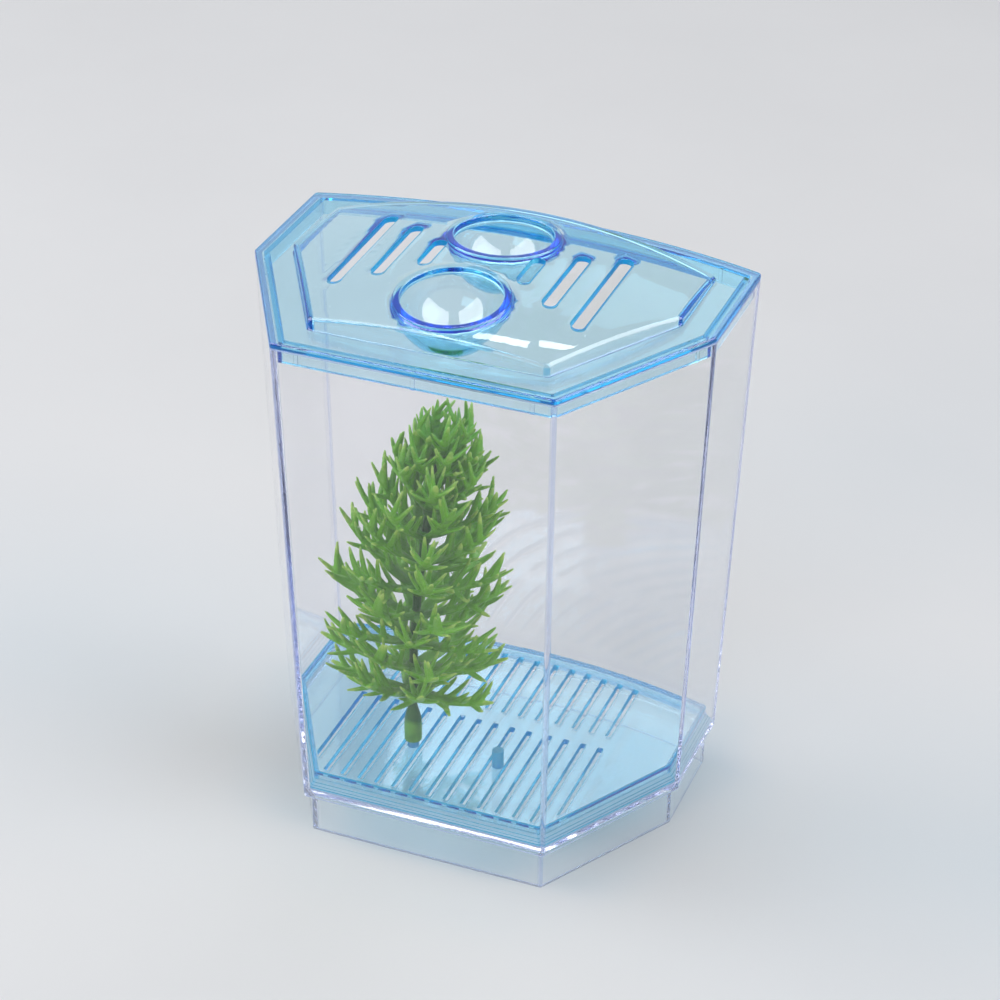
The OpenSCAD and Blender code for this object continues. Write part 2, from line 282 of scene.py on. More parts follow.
def make_tank():
    """From under the floor, round the foot, up the outside, over the rim and down inside."""
    s = Shell()
    foot, foot_in = 7.4, 9.2
    wall = (0.0, 0.35)      # painted light of a wall and of its corners, a faint blue glow on the corners
    rim = TANK_H - 0.02
    low = inset(FOOT_H + 1.1)
    base = WALL + inset(FLOOR_Z + 1.2)
    heights = (40, 70, 100, 130, 150)
    # the numbers after each edge's corner radius are painted light, on the edge and on the strip
    # before it: a blue glow, which above 1 turns into a pale painted highlight, as on the fillets
    # round the foot
    steps = bend(s, [(foot_in + a, FOOT_H - b) for a, b in quarter(0.5)], 0.8, 0.3)
    s.cap(steps[0][0])
    steps += bend(s, [(foot_in - b, a) for a, b in quarter(0.3)], 0.8, 1.1, wall)
    steps += bend(s, [(foot + a, b) for a, b in quarter(0.3)], 0.9, 1.1, (0.8, 0.8))
    steps += bend(s, [(foot - b, FOOT_H - a) for a, b in quarter(0.25)], 0.9, 0.3, wall)
    steps += bend(s, [(low + a, FOOT_H + b) for a, b in quarter(1.1, 6)], 1.2, 1.5)
    steps += [level(s, inset(z), z, 1.2, *wall) for z in heights]
    steps += bend(s, [(b, rim - a) for a, b in quarter(0.45)], 1.2, 0.9, wall)
    steps += bend(s, [(WALL - a, rim - b) for a, b in quarter(0.3)], 0.9, 0.9, (0.7, 0.7))
    steps += [level(s, WALL + inset(z), z, 0.9, *wall) for z in reversed(heights)]
    steps += bend(s, [(base + b, FLOOR_Z + a) for a, b in quarter(1.2, 6)], 0.9, 1.2, wall)
    s.skin(steps)
    s.cap(steps[-1][0])
    return s.build("clear_tank_body")


# ---------------------------------------------------------------- lid
DOME_R, DOME_H, CROWN_Y = 250.0, 9.6, 2.8
DOME_C = Vector((0, CROWN_Y, LID_Z + DOME_H - DOME_R))
FLANGE = 11.0           # width of the flat rim round the dome
LIP_IN, LIP_OUT, LIP_H = 4.053, 2.553, 4.8
VENT_R = 1.9
VENTS = ((14.9, 15.2), (25.5, 30.8), (36.1, 43.0))      # distance from the middle, length
DISH_YS = (-21.6, 17.2)
DISH_R, RING_R, RING_H = 14.4, 16.5, 0.7
RING_DROP = DOME_R - math.sqrt(DOME_R ** 2 - RING_R ** 2)   # the dome's fall at the ring


def dome(x, y):
    return DOME_C.z + math.sqrt(DOME_R ** 2 - x * x - (y - CROWN_Y) ** 2)


def under_dome(x, y):
    return DOME_C.z + math.sqrt((DOME_R - LID_T) ** 2 - x * x - (y - CROWN_Y) ** 2)


def on(surface, pts, drop=0.0):
    """Points of the plan, laid on a surface."""
    return [(x, y, surface(x, y) - drop) for x, y in pts]


def stadium(x, half, grow, n=9):
    """A vent's outline, its straight sides along Y."""
    r = VENT_R + grow
    run = half - VENT_R
    return arc((x, run), r, 0, math.pi, n) + arc((x, -run), r, math.pi, 2 * math.pi, n)


def lip_outline():
    """The lip's outer outline with its small ribs standing out of it."""
    k, out, w = LIP_OUT, 0.25, 0.6
    # ribs on straight walls, as the wall's angle, its distance and the place along it
    ribs = [(-math.pi / 2, -Y_FRONT - k, x) for x in (-34.5, 0.0, 34.5)]
    along = Y_SIDE * math.cos(CH_N) - HALF_W * math.sin(CH_N) - 5.5
    ribs += [(CH_N, CH_K - k, along), (math.pi - CH_N, CH_K - k, -along)]
    pts = [Vector((x, y, 0)) for x, y in outline(k, 1.0)]
    for a, d, t in ribs:
        n, u = Vector((math.cos(a), math.sin(a), 0)), Vector((-math.sin(a), math.cos(a), 0))
        add_rib(pts, [n * e + u * f for e, f in
                      ((d, t - w), (d + out, t - w), (d + out, t + w), (d, t + w))])
    # two more on the bowed back
    tilt, r = math.asin(58.5 / BACK_R), BACK_R - k
    for a in (math.pi / 2 - tilt, math.pi / 2 + tilt):
        corners = ((a - w / r, r), (a - w / r, r + out), (a + w / r, r + out), (a + w / r, r))
        add_rib(pts, [Vector((e * math.cos(b), BACK_Y + e * math.sin(b), 0))
                      for b, e in corners])
    return [(p.x, p.y) for p in pts]


def add_rib(pts, rib):
    """Puts a rib's points into the ring, on the segment where they belong."""
    mid = (rib[0] + rib[3]) / 2
    best = min(range(len(pts)), key=lambda i: gap(mid.xy, pts[i].xy, pts[(i + 1) % len(pts)].xy))
    for i in (best, (best + 1) % len(pts)):
        if (pts[i] - mid).length < 0.75:
            pts[i] = None
    pts[best + 1:best + 1] = rib
    while None in pts:
        pts.remove(None)


def make_lid():
    s = Shell()
    soft, wall_in, lip_z = 1.6, FLANGE + LID_T, TANK_H - LIP_H
    # dome's top edge, its wall and its root on the flange
    # the numbers beside the rings are painted light, a blue glow on the dome's walls, the rim and
    # the lip
    steps = [(s.ring(on(dome, outline(FLANGE + a, soft, DOME_CUTS), b)), 0.0, 0.1)
             for a, b in quarter(0.95, 8)]
    top_edge = steps[0][0]
    steps += bend(s, [(FLANGE - b, LID_Z + a) for a, b in quarter(0.5)], soft, 0.1,
                  (0.03, 0.3), DOME_CUTS)
    s.skin(steps)
    flange_in = steps[-1][0]
    # the flange's rim
    steps = bend(s, [(a, LID_Z - b) for a, b in quarter(0.6, 6)], 1.2, 0.12)
    steps += bend(s, [(b, TANK_H + a) for a, b in quarter(0.4)], 1.2, 0.5, (0.45, 0.5))
    s.skin(steps)
    s.patch(steps[0][0], [flange_in], tone=0.05)
    # lip with its ribs
    lip = lip_outline()
    lip_top, lip_low = s.ring(lip, TANK_H), s.ring(lip, lip_z)
    s.strip(lip_top, lip_low, False, 0.02)
    s.patch(steps[-1][0], [lip_top])
    steps = bend(s, [(LIP_IN - a, lip_z + b) for a, b in quarter(0.3)], 0.9, 0.15)
    s.patch(lip_low, [steps[0][0]], tone=0.15)
    steps += bend(s, [(LIP_IN + b, TANK_H - a) for a, b in quarter(0.3)], 0.9, 0.1, (0.02, 0.1))
    s.skin(steps)
    # underside inside the lip, then the dome's inner wall
    lip_root = steps[-1][0]
    steps = bend(s, [(wall_in - a, TANK_H + b) for a, b in quarter(0.4)], 1.2, 0.1,
                 cuts=DOME_CUTS)
    s.patch(lip_root, [steps[0][0]])
    steps += [(s.ring(on(under_dome, outline(wall_in + b, 1.2, DOME_CUTS), a)),
               *((0.03, 0.3) if a == 0.3 else (0.0, 0.1))) for a, b in quarter(0.3)]
    s.skin(steps)
    # vents and dishes, then the dome's two faces round them
    top_holes, low_holes = [], []
    for side in (-1, 1):
        for x, length in VENTS:
            small = 0.22 if x < 20 else 0.35
            rows = [s.ring(on(dome, stadium(side * x, length / 2, a), b))
                    for a, b in quarter(small, 3)]
            rows += [s.ring(on(under_dome, stadium(side * x, length / 2, b), -a))
                     for a, b in quarter(small, 3)]
            # the vents' walls get a painted blue glow
            s.rings(rows, tone=0.8)
            top_holes.append(rows[0])
            low_holes.append(rows[-1])
    for y in DISH_YS:
        make_dish(s, y, top_holes, low_holes)
    s.patch(top_edge, top_holes, dome)
    s.patch(steps[-1][0], low_holes, under_dome)
    return s.build("blue_lid_shell")


BOWL_N = 22             # rings from a dish's mouth to its bottom


def make_dish(s, y, top_holes, low_holes, n=96):
    """A half ball hung in the dome at y, square to it, with a raised ring round its mouth."""
    tilt = math.asin((y - CROWN_Y) / DOME_R)
    turn = Matrix.Rotation(-tilt, 4, "X")

    def ring(r, z):
        return s.ring([tuple(DOME_C + (turn @ Vector((r * math.cos(a), r * math.sin(a),
                                                       DOME_R + z))))
                       for a in (2 * math.pi * i / n for i in range(n))])
    top = RING_H - RING_DROP
    rows = [ring(RING_R + 0.1, -RING_DROP - 0.007), ring(RING_R + 0.02, -RING_DROP + 0.09)]
    rows += [ring(RING_R - b, top - a) for a, b in quarter(0.4)]
    rows += [ring(DISH_R + a, top - b) for a, b in quarter(0.4)]
    # the raised ring round a dish gets a painted blue glow, strongest on its outer side
    s.rings(rows[:4], tone=0.5)
    s.rings(rows[3:], tone=0.1)
    top_holes.append(rows[0])
    rows = rows[-1:] + [ring(DISH_R * math.cos(t), -RING_DROP - DISH_R * math.sin(t))
                        for t in (math.pi / 2 * i / BOWL_N for i in range(BOWL_N))]
    s.rings(rows)
    s.point_cap(rows[-1], DOME_C + (turn @ Vector((0, 0, DOME_R - RING_DROP - DISH_R))))
    # outer ball, up to a small fillet under the dome
    out_r, low, start = DISH_R + LID_T, -LID_T - RING_DROP, 6.5
    rows = [ring(out_r * math.cos(t), -RING_DROP - out_r * math.sin(t))
            for t in (math.radians(start + (90 - start) * i / BOWL_N)
                      for i in range(BOWL_N - 1, -1, -1))]
    rows += [ring(out_r + 0.05, low - 0.10), ring(out_r + 0.22, low + 0.015)]
    s.rings(rows)
    low_holes.append(rows[-1])
    s.point_cap(rows[0], DOME_C + (turn @ Vector((0, 0, DOME_R - RING_DROP - out_r))))


# ---------------------------------------------------------------- tray
PEG_X, PEG_Y, PEG_R, PEG_H = 13.875, -19.0, 1.8, 6.0
TRAY_IN, TRAY_FOOT = 8.78, 7.28         # the plate's edge and the skirt's foot, from the plan
PLATE_T, SKIRT_T = 1.8, 1.4
SLOT_STEP, SLOT_HALF, SLOT_SIDE = 5.55, 0.85, 7         # pitch, half width, slots each side
BAR_FRONT, BAR_REAR = 0.6, 7.0          # the bar between the two rows of slots


def slot_ends(x):
    """Front and rear end of the slotted field at x."""
    margin, rear_margin = 10.55, 5.5
    slant = (math.cos(CH_N) * abs(x) - (CH_K - margin)) / -math.sin(CH_N)
    return (max(Y_FRONT + margin, slant),
            BACK_Y - rear_margin + math.sqrt((BACK_R - TRAY_IN) ** 2 - x * x))


def rounded(quad, r, n=3):
    """A quad with round corners, as a loop of 4 n points."""
    pts = []
    for i, p in enumerate(quad):
        p = Vector(p)
        a, b = Vector(quad[i - 1]) - p, Vector(quad[(i + 1) % 4]) - p
        a.normalize()
        b.normalize()
        half = math.acos(max(-1, min(1, a.dot(b)))) / 2
        c = p + (a + b).normalized() * (r / math.sin(half))
        start, end = [math.atan2((p + d * r / math.tan(half) - c).y,
                                 (p + d * r / math.tan(half) - c).x) for d in (a, b)]
        pts += arc(c, r, start, end + (2 * math.pi if end < start else 0), n)
    return pts


def slots():
    """Every slot as its four corners, anticlockwise."""
    for i in range(-SLOT_SIDE, SLOT_SIDE + 1):
        x0, x1 = i * SLOT_STEP - SLOT_HALF, i * SLOT_STEP + SLOT_HALF
        (f0, b0), (f1, b1) = slot_ends(x0), slot_ends(x1)
        yield [(x0, f0), (x1, f1), (x1, BAR_FRONT), (x0, BAR_FRONT)]
        yield [(x0, BAR_REAR), (x1, BAR_REAR), (x1, b1), (x0, b0)]


def grown(quad, g):
    """A slot's corners, moved out by g."""
    (x0, a), (x1, b), (_, c), (_, d) = quad
    return [(x0 - g, a - g), (x1 + g, b - g), (x1 + g, c + g), (x0 - g, d + g)]


def make_tray():
    s = Shell()
    under, foot_z = TRAY_Z - PLATE_T, FLOOR_Z + 0.03
    flare_z, skirt_z, inner = FLOOR_Z + 1.4, FLOOR_Z + 3.6, TRAY_FOOT + SKIRT_T
    steps = bend(s, [(TRAY_IN + a, TRAY_Z - b) for a, b in quarter(0.4)], 1.4, 1.0)
    top = steps[0][0]
    # down the skirt, out over the flare and its painted bright lines, round the foot and up
    # inside, as (distance from the plan, height, corner radius, painted light: a blue glow, and
    # above 1 a pale painted highlight)
    steps += [level(s, k, z, r, t, 0.3 + 0.7 * t) for k, z, r, t in (
        (TRAY_IN, skirt_z + 0.5, 1.4, 0.08), (TRAY_IN - 0.08, skirt_z + 0.15, 1.4, 0.5),
        (TRAY_FOOT + 1.0, flare_z + 1.5, 1.4, 1.9), (TRAY_FOOT + 0.85, flare_z + 1.28, 1.4, 0.9),
        (TRAY_FOOT + 0.45, flare_z + 0.68, 1.4, 1.9), (TRAY_FOOT + 0.33, flare_z + 0.5, 1.4, 1.0),
        (TRAY_FOOT + 0.04, flare_z + 0.12, 1.4, 1.9), (TRAY_FOOT, flare_z - 0.2, 1.4, 1.0),
        (TRAY_FOOT, FLOOR_Z + 0.9, 1.4, 1.5), (TRAY_FOOT + 0.15, FLOOR_Z + 0.4, 1.4, 0.5),
        (TRAY_FOOT + 0.45, FLOOR_Z + 0.12, 1.4, 0.5), (TRAY_FOOT + 0.8, foot_z, 1.4, 0.5),
        (inner - 0.25, foot_z, 1.0, 0.5), (inner - 0.07, FLOOR_Z + 0.07, 1.0, 0.5),
        (inner, FLOOR_Z + 0.25, 1.0, 0.5), (inner, flare_z, 1.0, 0.2),
        (TRAY_IN + SKIRT_T, skirt_z, 1.0, 0.2), (TRAY_IN + SKIRT_T, under - 0.1, 1.0, 0.1),
        (TRAY_IN + 1.5, under, 1.0, 0.1))]
    s.skin(steps)
    top_holes, low_holes = [], []
    for quad in slots():
        loops = [s.ring(rounded(grown(quad, g), 0.25 + g / 2), z) for g, z in (
            (0.10, TRAY_Z), (0.03, TRAY_Z - 0.03), (0.0, TRAY_Z - 0.1), (0.0, under))]
        start = len(s.tone)
        # the slots' walls get a painted blue glow
        s.rings(loops, tone=0.75)
        for i in range(start, len(s.tone)):
            if (i - start) % len(loops[0]) in (1, 2, 3):
                s.tone[i] = 1.9         # a slot's front end gets a pale painted highlight, a bright tab
        top_holes.append(loops[0])
        low_holes.append(loops[-1])
    for side in (-1, 1):
        rows = [s.ring(arc((side * PEG_X, PEG_Y), r, 0, 2 * math.pi * 23 / 24, 24), z)
                for r, z in [(PEG_R, TRAY_Z)] + [(PEG_R - b, TRAY_Z + PEG_H - a)
                                                 for a, b in quarter(0.4)]]
        # the pegs get a painted glow that turns a little pale, a painted highlight
        s.rings(rows, tone=1.25)
        s.cap(rows[-1], 1.25)
        top_holes.append(rows[0])
    s.patch(top, top_holes)
    s.patch(steps[-1][0], low_holes)
    return s.build("blue_tray_plate")


# ---------------------------------------------------------------- plant
STEM_L, LEAN, LEAN_DIR, STEM_Z = 88.35, 9.0, math.radians(21), 37.8
BEND_R = STEM_L ** 2 / (2 * LEAN)       # the stem is an arc that leans by LEAN at its top
SOCKET_Z, STALK_R = 24.8, 1.25
TIER_N, TIER_STEP = 9, 9.3
SHORT = 18.0            # a frond below this length has fewer and thinner fingers
LEAF_ROOT = 1.7         # a frond's tip is measured from this far out of the stem's axis
# Half widths along a frond and along one of its fingers, and the turns of the fingers
# round the rib, in degrees
FROND_SHAPE = (0.6, 0.9, 1.0, 1.0, 0.96, 0.9, 0.83, 0.76, 0.68, 0.58, 0.46, 0.26)
FINGER_SHAPE = (1.3, 1.15, 1.05, 1.0, 0.94, 0.82, 0.64, 0.38)
FINGER_TILTS = (10, 62, -18, 35, 75, -10, 28, 50)


def stem_frame(l):
    """Place and turn at length l along the bent stem."""
    return (Matrix.Translation((-PEG_X, PEG_Y, STEM_Z)) @ Matrix.Rotation(LEAN_DIR, 4, "Z")
            @ Matrix.Translation((BEND_R, 0, 0)) @ Matrix.Rotation(l / BEND_R, 4, "Y")
            @ Matrix.Translation((-BEND_R, 0, 0)) @ Matrix.Rotation(-LEAN_DIR, 4, "Z"))


def make_stem():
    """The socket that pushes over a peg, with its barrel, and the knotted stem above it."""
    s = Shell()
    n = 28

    def ring(l, r, wobble=0.0):
        m = stem_frame(l) if l > 0 else Matrix.Translation((-PEG_X, PEG_Y, STEM_Z + l))
        return s.ring([tuple(m @ Vector((q * math.cos(a), q * math.sin(a), 0)))
                       for a, q in ((t, r * (1 + wobble * math.cos(3 * t + l)))
                                    for t in (2 * math.pi * i / n for i in range(n)))])

    low = SOCKET_Z - STEM_Z
    rows = [ring(low + z, r) for r, z in (
        (1.3, 3.5), (1.75, 3.45), (1.85, 3.3), (1.85, 0.3), (1.95, 0.08), (2.1, 0.0), (2.4, 0.0),
        (2.58, 0.1), (2.65, 0.35), (2.68, 1.5), (2.7, 4.0), (2.66, 6.5), (2.55, 8.0),
        (2.2, 9.6), (1.8, 11.0), (1.52, 12.1), (1.42, 12.9))]
    rows += [ring(l, STALK_R + 0.12 * math.exp(-(((l % TIER_STEP) - TIER_STEP / 2) / 1.8) ** 2)
                  - 0.25 * max(0, l - 80) / 8, 0.05)
             for l in (0.9 + 87.0 * i / 76 for i in range(77))]
    rows += [ring(88.2, 0.7), ring(STEM_L, 0.3)]
    s.rings(rows)
    s.cap(rows[0])
    s.cap(rows[-1])
    obj = s.build("plant_stalk")
    # brighter towards the socket
    shades = [min(1.0, max(0.0, (41 - v.co.z / MM) / 10)) for v in obj.data.vertices]
    obj.data.attributes.new("along", "FLOAT", "POINT").data.foreach_set("value", shades)
    return obj


def bezier(a, b, c, n):
    """n points on a curve from a to c that bends towards b."""
    return [a * (1 - t) ** 2 + b * (2 * t * (1 - t)) + c * (t * t)
            for t in (i / (n - 1) for i in range(n))]


def front_limit(z):
    """How far forward a leaf may reach, clear of the front wall."""
    return Y_FRONT + WALL + inset(z) + 1.3


class Foliage:
    """Closed tapered limbs that one remesh melts into a soft moulded whorl."""

    def __init__(self):
        self.s, self.marks = Shell(), []

    def limb(self, pts, widths, flat, up, shades, n=8):
        """A limb along pts, flattened across up. Its shade runs from shades[0] to shades[1]."""
        rings, thinnest = [], 0.26
        for i, (p, w) in enumerate(zip(pts, widths)):
            d = (pts[min(i + 1, len(pts) - 1)] - pts[max(i - 1, 0)]).normalized()
            side = d.cross(up).normalized()
            rise = side.cross(d)
            ring = []
            for a in (2 * math.pi * k / n for k in range(n)):
                q = p + side * (w * math.cos(a))
                q += rise * (max(w * flat, thinnest) * math.sin(a))
                q.y = max(q.y, front_limit(q.z))
                ring.append(tuple(q))
            rings.append(self.s.ring(ring))
            self.marks.append((p, shades[0] + (shades[1] - shades[0]) * i / (len(pts) - 1)))
        self.s.rings(rings)
        self.s.cap(rings[0])
        self.s.cap(rings[-1])

    def build(self, name):
        obj = self.s.build(name)
        for kind, values in (("REMESH", {"mode": "VOXEL", "voxel_size": 0.0003}),
                             ("SMOOTH", {"iterations": 3, "factor": 0.5}),
                             ("DECIMATE", {"ratio": 0.4})):
            m = obj.modifiers.new(kind.lower(), kind)
            for key, value in values.items():
                setattr(m, key, value)
        graph = bpy.context.evaluated_depsgraph_get()
        mesh = bpy.data.meshes.new_from_object(obj.evaluated_get(graph))
        mesh.validate()
        obj.modifiers.clear()
        obj.data = mesh
        tree = kdtree.KDTree(len(self.marks))
        for i, (p, _) in enumerate(self.marks):
            tree.insert(p * MM, i)
        tree.balance()
        shades = [self.marks[tree.find(v.co)[1]][1] for v in obj.data.vertices]
        obj.data.attributes.new("along", "FLOAT", "POINT").data.foreach_set("value", shades)
        obj.data.polygons.foreach_set("use_smooth", [True] * len(obj.data.polygons))
        return obj


def longest(a, rise):
    """Room for a frond in this direction before the front wall."""
    if math.sin(a) >= 0:
        return 400.0
    room = PEG_Y - (Y_FRONT + WALL + inset(STEM_Z)) - 3.0
    return (room / -math.sin(a) - LEAF_ROOT) / math.cos(rise)


def grow_frond(f, rng, m, a, rise, length, fingers, web):
    """One frond from the stem: a webbed rib that curves up, with long fingers on its sides
    and top."""
    turn = m.to_3x3()
    up = turn @ Vector((0, 0, 1))
    out = turn @ Vector((math.cos(a), math.sin(a), 0))
    root = m.to_translation() + out * 0.9
    reach = length + LEAF_ROOT
    tip = m.to_translation() + (out * math.cos(rise) + up * math.sin(rise)) * reach
    low = rise - rng.uniform(0.12, 0.26)
    mid = root + (out * math.cos(low) + up * math.sin(low)) * (length * 0.55)
    pts = bezier(root, mid, tip, len(FROND_SHAPE))
    f.limb(pts, [max(web * w, 0.24) for w in FROND_SHAPE], 0.42, up, (0.0, 0.95))
    last = len(pts) - 1
    side = 1 if rng.random() < 0.5 else -1
    for k in range(fingers):
        t = 0.2 + 0.56 * k / max(1, fingers - 1) + rng.uniform(-0.03, 0.03)
        i = min(int(t * last), last - 1)
        p = pts[i].lerp(pts[i + 1], t * last - i)
        ahead = (pts[i + 1] - pts[i]).normalized()
        across = ahead.cross(up).normalized()
        above = across.cross(ahead)
        tilt = math.radians(FINGER_TILTS[k % len(FINGER_TILTS)] + rng.uniform(-14, 14))
        spread = math.radians(rng.uniform(36, 54))
        way = (ahead * math.cos(spread)
               + (across * (side * math.cos(tilt)) + above * math.sin(tilt)) * math.sin(spread))
        side = -side
        size = 10.2 * min(1.0, length / 24) ** 0.6 * (1.12 - 0.3 * t) * rng.uniform(0.8, 1.15)
        end = p + way * size + up * rng.uniform(0.6, 1.8)
        bow = p + way * size * 0.55 - above * rng.uniform(0.0, 0.6)
        line = bezier(p, bow, end, len(FINGER_SHAPE))
        thick = rng.uniform(0.95, 1.1) * (0.85 if length < SHORT else 1)
        f.limb(line, [thick * w for w in FINGER_SHAPE], 0.68, up, (0.3 * t + 0.1, 1.0))


def full_length(i):
    """Length of tier i's fronds: the plant is widest low down and tapers to its top."""
    bulge = 0.72 + 0.28 * math.sin(math.pi * (i + 0.8) / (TIER_N - 0.4))
    return 32 * bulge * (1 - 0.42 * (i / TIER_N) ** 3) * (1 + 0.2 * (i / TIER_N) ** 2)


def make_whorl(i, rng):
    """Leaf tier i, with the fronds that its solid has. Tier 9 is the tip of the plant."""
    f = Foliage()
    top = i == TIER_N
    m = stem_frame(STEM_L if top else (i + 0.5) * TIER_STEP)
    axis = m.to_3x3() @ Vector((0, 0, 1))
    c = m.to_translation()
    collar = (1.6, 1.9, 1.9, 1.6, 1.1) if top else (1.75, 2.0, 2.15, 1.9, 1.6)
    f.limb([c + axis * z for z in (-1.9, -1.5, 0.0, 1.5, 1.9)], collar, 1.0,
           m.to_3x3() @ Vector((1, 0, 0)), (0.05, 0.1), 16)
    count = 5 if top else 6
    rise = math.radians(62 if top else 8 + 58 * i / TIER_N)
    full = 15 if top else full_length(i)
    web = 1.6 if top else (2.6 if i < 2 else 2.2)
    start = 0 if top else math.radians(12 * math.sin(math.radians(137 * i)))
    for k in range(count):
        a = 2 * math.pi / count * k + start
        length = min(full * rng.uniform(0.95, 1.0), longest(a, rise))
        # low tiers lift their front fronds off the wall, and neighbours stand at two heights
        lift = 0.5 * max(0.0, -math.sin(a)) * max(0.0, 1 - i / 3) - 0.08 * (i / TIER_N) ** 2
        lift += 0.06 * (1 if (k + i) % 2 else -1) * min(1.0, i)
        fingers = 5 if top else (10 if length > SHORT else 7)
        grow_frond(f, rng, m, a, rise + lift + rng.uniform(-0.03, 0.03), length, fingers, web)
    if top:
        grow_frond(f, rng, m, 1.0, math.radians(84), 13, 3, 1.4)
    return f.build("leaf_sprig" if top else "leaf_whorl_%d" % (i + 1))


# ---------------------------------------------------------------- materials
class Nodes:
    """A material's node tree, with short calls for the nodes used here. Textures follow the
    object's own coordinates, in metres."""

    def __init__(self, name):
        self.mat = bpy.data.materials.new(name)
        self.mat.use_nodes = True
        self.t = self.mat.node_tree
        self.t.nodes.clear()
        self.out = self.add("ShaderNodeOutputMaterial")
        self.coord = self.add("ShaderNodeTexCoord").outputs["Object"]

    def add(self, kind, **values):
        n = self.t.nodes.new(kind)
        for key, value in values.items():
            setattr(n, key, value)
        return n

    def link(self, a, b):
        self.t.links.new(a, b)

    def noise(self, scale, detail=3.0, rough=0.5):
        n = self.add("ShaderNodeTexNoise")
        self.link(self.coord, n.inputs["Vector"])
        n.inputs["Scale"].default_value = scale
        n.inputs["Detail"].default_value = detail
        n.inputs["Roughness"].default_value = rough
        return n.outputs["Fac"]

    def ramp(self, fac, stops):
        n = self.add("ShaderNodeValToRGB")
        self.link(fac, n.inputs["Fac"])
        while len(n.color_ramp.elements) < len(stops):
            n.color_ramp.elements.new(0.5)
        for e, (pos, col) in zip(n.color_ramp.elements, stops):
            e.position = pos
            e.color = col if len(col) == 4 else (*col, 1)
        return n.outputs["Color"]

    def span(self, fac, lo, hi, a=0.3, b=0.7):
        n = self.add("ShaderNodeMapRange")
        self.link(fac, n.inputs["Value"])
        for key, value in (("From Min", a), ("From Max", b), ("To Min", lo), ("To Max", hi)):
            n.inputs[key].default_value = value
        return n.outputs["Result"]

    def blend(self, fac, a, b):
        n = self.add("ShaderNodeMix", data_type="RGBA")
        for socket, value in ((n.inputs[0], fac), (n.inputs[6], a), (n.inputs[7], b)):
            if hasattr(value, "links"):
                self.link(value, socket)
            else:
                socket.default_value = (*value, 1)
        return n.outputs[2]

    def math(self, op, a, b):
        n = self.add("ShaderNodeMath", operation=op)
        for socket, value in zip(n.inputs, (a, b)):
            if hasattr(value, "links"):
                self.link(value, socket)
            else:
                socket.default_value = value
        return n.outputs[0]

    def bump(self, height, distance, strength=1.0, normal=None):
        n = self.add("ShaderNodeBump")
        self.link(height, n.inputs["Height"])
        n.inputs["Distance"].default_value = distance
        n.inputs["Strength"].default_value = strength
        if normal:
            self.link(normal, n.inputs["Normal"])
        return n.outputs["Normal"]


def clear_plastic(name, tint, glow_colour, highlight_colour, glow, depth_tint, density, shade, specks):
    """Polished see-through plastic. Its colour deepens in its volume. On the edges, where a
    face's painted light is high, a blue glow is painted in: the base colour turns blue and part
    of the surface becomes a diffuse and translucent blue, lit by the lamps. Above 1 the painted
    glow turns into a pale painted highlight. Shadow and diffuse rays pass straight through with a
    light shade, so the floor round the box isn't lit twice."""
    n = Nodes(name)
    wave = n.noise(38, 2)           # the slow waves of a moulded face
    fine = n.noise(900, 3)          # its faint grain
    # small rough specks, as of dust
    dust = n.ramp(n.noise(620, 2), [(0.0, (0, 0, 0)), (0.735, (0, 0, 0)), (0.76, (1, 1, 1))])
    tone = n.add("ShaderNodeAttribute", attribute_name="tone").outputs["Fac"]
    p = n.add("ShaderNodeBsdfPrincipled")
    p.inputs["Transmission Weight"].default_value = 1.0
    p.inputs["IOR"].default_value = 1.5
    base = n.ramp(wave, [(0.3, [c * 0.97 for c in tint]), (0.7, tint)])
    # painted glow: the glass turns towards the glow's colour where a face's painted light is high
    n.link(n.blend(tone, base, glow_colour), p.inputs["Base Color"])
    rough = n.math("ADD", n.span(fine, 0.004, 0.02), n.math("MULTIPLY", dust, specks))
    n.link(rough, p.inputs["Roughness"])
    normal = n.bump(fine, 0.00001, 0.15, n.bump(wave, 0.00025, 0.12))
    n.link(normal, p.inputs["Normal"])
    # the painted edge glow, blue and above 1 a pale painted highlight, is scattered both ways,
    # diffuse and translucent
    scatter = n.add("ShaderNodeBsdfTranslucent")
    diffuse = n.add("ShaderNodeBsdfDiffuse")
    lit = n.add("ShaderNodeMixShader")
    lit.inputs["Fac"].default_value = 0.5
    glow_and_highlight_colour = n.blend(n.math("MAXIMUM", n.math("SUBTRACT", tone, 1.0), 0.0), glow_colour, highlight_colour)
    for node in (scatter, diffuse):
        n.link(glow_and_highlight_colour, node.inputs["Color"])
        n.link(node.outputs[0], lit.inputs[1 if node is scatter else 2])
    edge = n.add("ShaderNodeMixShader")
    n.link(n.math("MINIMUM", n.math("MULTIPLY", tone, glow), 0.9), edge.inputs["Fac"])
    n.link(p.outputs["BSDF"], edge.inputs[1])
    n.link(lit.outputs["Shader"], edge.inputs[2])
    clear = n.add("ShaderNodeBsdfTransparent")
    clear.inputs["Color"].default_value = (*shade, 1)
    path = n.add("ShaderNodeLightPath")
    mix = n.add("ShaderNodeMixShader")
    n.link(n.math("MAXIMUM", path.outputs["Is Shadow Ray"], path.outputs["Is Diffuse Ray"]),
           mix.inputs["Fac"])
    n.link(edge.outputs["Shader"], mix.inputs[1])
    n.link(clear.outputs["BSDF"], mix.inputs[2])
    n.link(mix.outputs["Shader"], n.out.inputs["Surface"])
    absorb = n.add("ShaderNodeVolumeAbsorption")
    absorb.inputs["Color"].default_value = (*depth_tint, 1)
    absorb.inputs["Density"].default_value = density
    n.link(absorb.outputs["Volume"], n.out.inputs["Volume"])
    return n.mat


